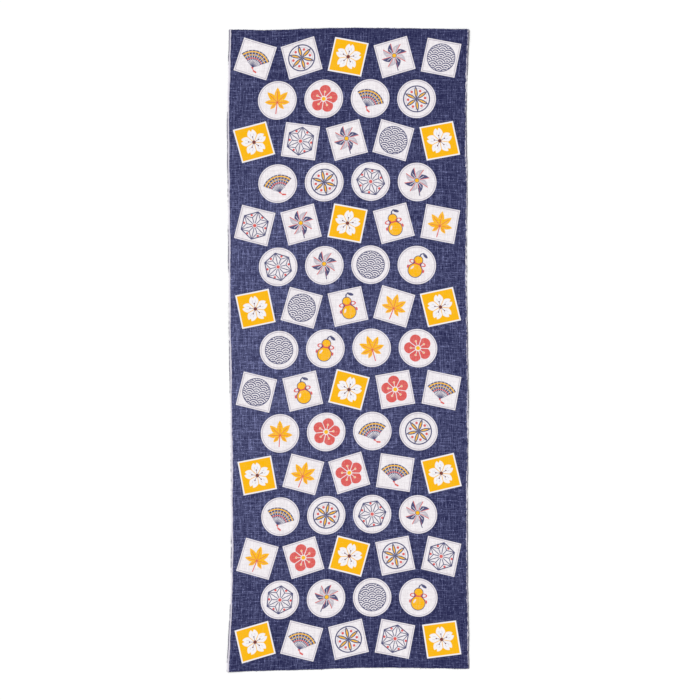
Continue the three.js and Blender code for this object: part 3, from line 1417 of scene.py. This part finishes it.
def printed_cloth():
    """Builds the material of the towel: each layer of colour is mixed over the last by its own
    mask, and only the motif whose number the face is marked with adds to the inks' masks."""
    material, tree, shader = new_finish("printed_cotton_cloth")
    cloth_place = map_place(tree, "Cloth")
    patch = map_place(tree, "Patch")
    x, y = place_in_mm(tree, cloth_place)
    px, py = place_in_mm(tree, patch)
    slub_node = use_group(tree, slub_tree, cloth_place)
    slub = {label: Field(tree, slub_node.outputs[label]) for label in ("Pale", "Yarn", "Relief")}
    motif = mark_of(tree, "patch_motif")
    square = mark_of(tree, "patch_square")
    back = mark_of(tree, "cloth_back")
    round_edge = disc(px, py, ROUNDEL_RADIUS)
    square_edge = both(abs(px), abs(py)) - SQUARE_HALF
    edge = round_edge + (square_edge - round_edge) * square
    amber = motif.calc("COMPARE", float(CHERRY), 0.5)

    totals = {}
    for number, group in enumerate(motif_trees):
        drawn = use_group(tree, group, patch)
        chosen = motif.calc("COMPARE", float(number), 0.5)
        for output in drawn.outputs:
            share = Field(tree, output) * chosen
            totals[output.name] = totals[output.name] + share if output.name in totals else share

    # Painted shade and sheen of the weave on bare cotton: the yarn on top goes from the lit white
    # to the shaded one, and thick places are painted lighter.
    shade = slub["Yarn"] - slub["Pale"] * SLUB_SHEEN
    cotton = colour_mix(tree, shade.clipped(), COTTON_LIGHT, COTTON_SHADED)
    cotton = colour_mix(tree, amber * AMBER_CLEAN, cotton, CLEAN)
    colour = ground_colour(tree, x, y, slub)
    colour = colour_mix(tree, ink(edge), colour, cotton)
    ring = ink(line(edge + RING_INSET, RING_HALF)) * (1.0 - amber)
    colour = colour_mix(tree, ring, colour, RING_GREY)
    thin = (1.0 - slub["Pale"] * SLUB_THIN).calc("MINIMUM", 1.0)
    amber_ground = ink(edge + BORDER) * amber * (thin * AMBER_THIN + (1 - AMBER_THIN))
    colour = colour_mix(tree, amber_ground, colour, INK_COLOURS["Amber"])
    colour = colour_mix(tree, totals["White"], colour, cotton)
    for label, dye in INK_COLOURS.items():
        colour = colour_mix(tree, totals[label] * thin, colour, dye)
    # Painted shadow: the outermost threads of each selvedge are darkened in stretches.
    edge_shade = Field(tree, use_group(tree, edge_shade_tree, cloth_place).outputs["EdgeShade"])
    edge_thread = colour_mix(tree, edge_shade, CLEAN, PAINTED_EDGE_SHADE)
    inner_thread = rising(WIDTH / 2 - abs(warp_middle(x)), *OUTERMOST)
    selvedge = colour_mix(tree, inner_thread, edge_thread, SELVEDGE)
    colour = colour_mix(tree, ink(undyed_strips(tree, x, y)), colour, selvedge)
    soaked = (slub["Pale"] * BACK_SLUB_FADE + BACK_FADE) * back
    colour = colour_mix(tree, soaked.clipped(), colour, COTTON)
    tree.links.new(colour, shader.inputs["Base Color"])

    inked = sum(totals[label] for label in ("Amber", "Red", "Navy"))
    rough = ROUGH_BARE - slub["Yarn"] * ROUGH_YARN - inked * ROUGH_INKED
    tree.links.new(rough.socket, shader.inputs["Roughness"])
    bump_from(tree, shader, slub["Relief"])
    print("printed_cotton_cloth:", len(tree.nodes), "nodes")
    return material


towel.data.materials.append(printed_cloth())


# %% The loose threads' finish
PLY_LENGTH = 0.5
PLY_HIGH = 0.03


def loose_threads():
    """Builds the material of the tips and turns: each thread its own shade of indigo, or of
    undyed cotton where it leaves an undyed strip. Its plies are ridges that run aslant, a sine
    of the sum of the three coordinates, and the hollows between them are rougher."""
    material, tree, shader = new_finish("loose_cotton_threads")
    leaves_at = place_of(tree, mark_of(tree, "thread_across"), mark_of(tree, "thread_along"))
    x, y = place_in_mm(tree, leaves_at)
    # Painted shadow: a thread that leaves an undyed strip is darkened like the selvedge's outermost
    # threads.
    edge_shade = Field(tree, use_group(tree, edge_shade_tree, leaves_at).outputs["EdgeShade"])
    tone = mark_of(tree, "thread_tone")
    indigo = colour_mix(tree, tone, THREAD_DEEP, THREAD_PALE)
    undyed = colour_mix(tree, tone, CLEAN, COTTON)
    edge_shaded = colour_mix(tree, edge_shade, undyed, PAINTED_EDGE_SHADE)
    colour = colour_mix(tree, ink(undyed_strips(tree, x, y)), indigo, edge_shaded)
    tree.links.new(colour, shader.inputs["Base Color"])

    x, y, z = coordinates(tree, tree.nodes.new("ShaderNodeTexCoord").outputs["Object"])
    ply = ((x + y + z) * (2 * math.pi / (PLY_LENGTH * MM))).calc("SINE")
    tree.links.new((ROUGH_BARE - ply * ROUGH_YARN / 2).socket, shader.inputs["Roughness"])
    bump_from(tree, shader, ply * PLY_HIGH)
    print("loose_cotton_threads:", len(tree.nodes), "nodes")
    return material


thread_material = loose_threads()
warp_ends.data.materials.append(thread_material)
weft_loops.data.materials.append(thread_material)

# %% [markdown]
# ## Declare and finish
#
# The towel rides on the only body there is and stands for its plain solid, which is hidden.
# The thread tips and the weft turns go with the sheet.

for piece in (towel, warp_ends, weft_loops):
    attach(piece, "root")
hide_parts("towel_cloth")
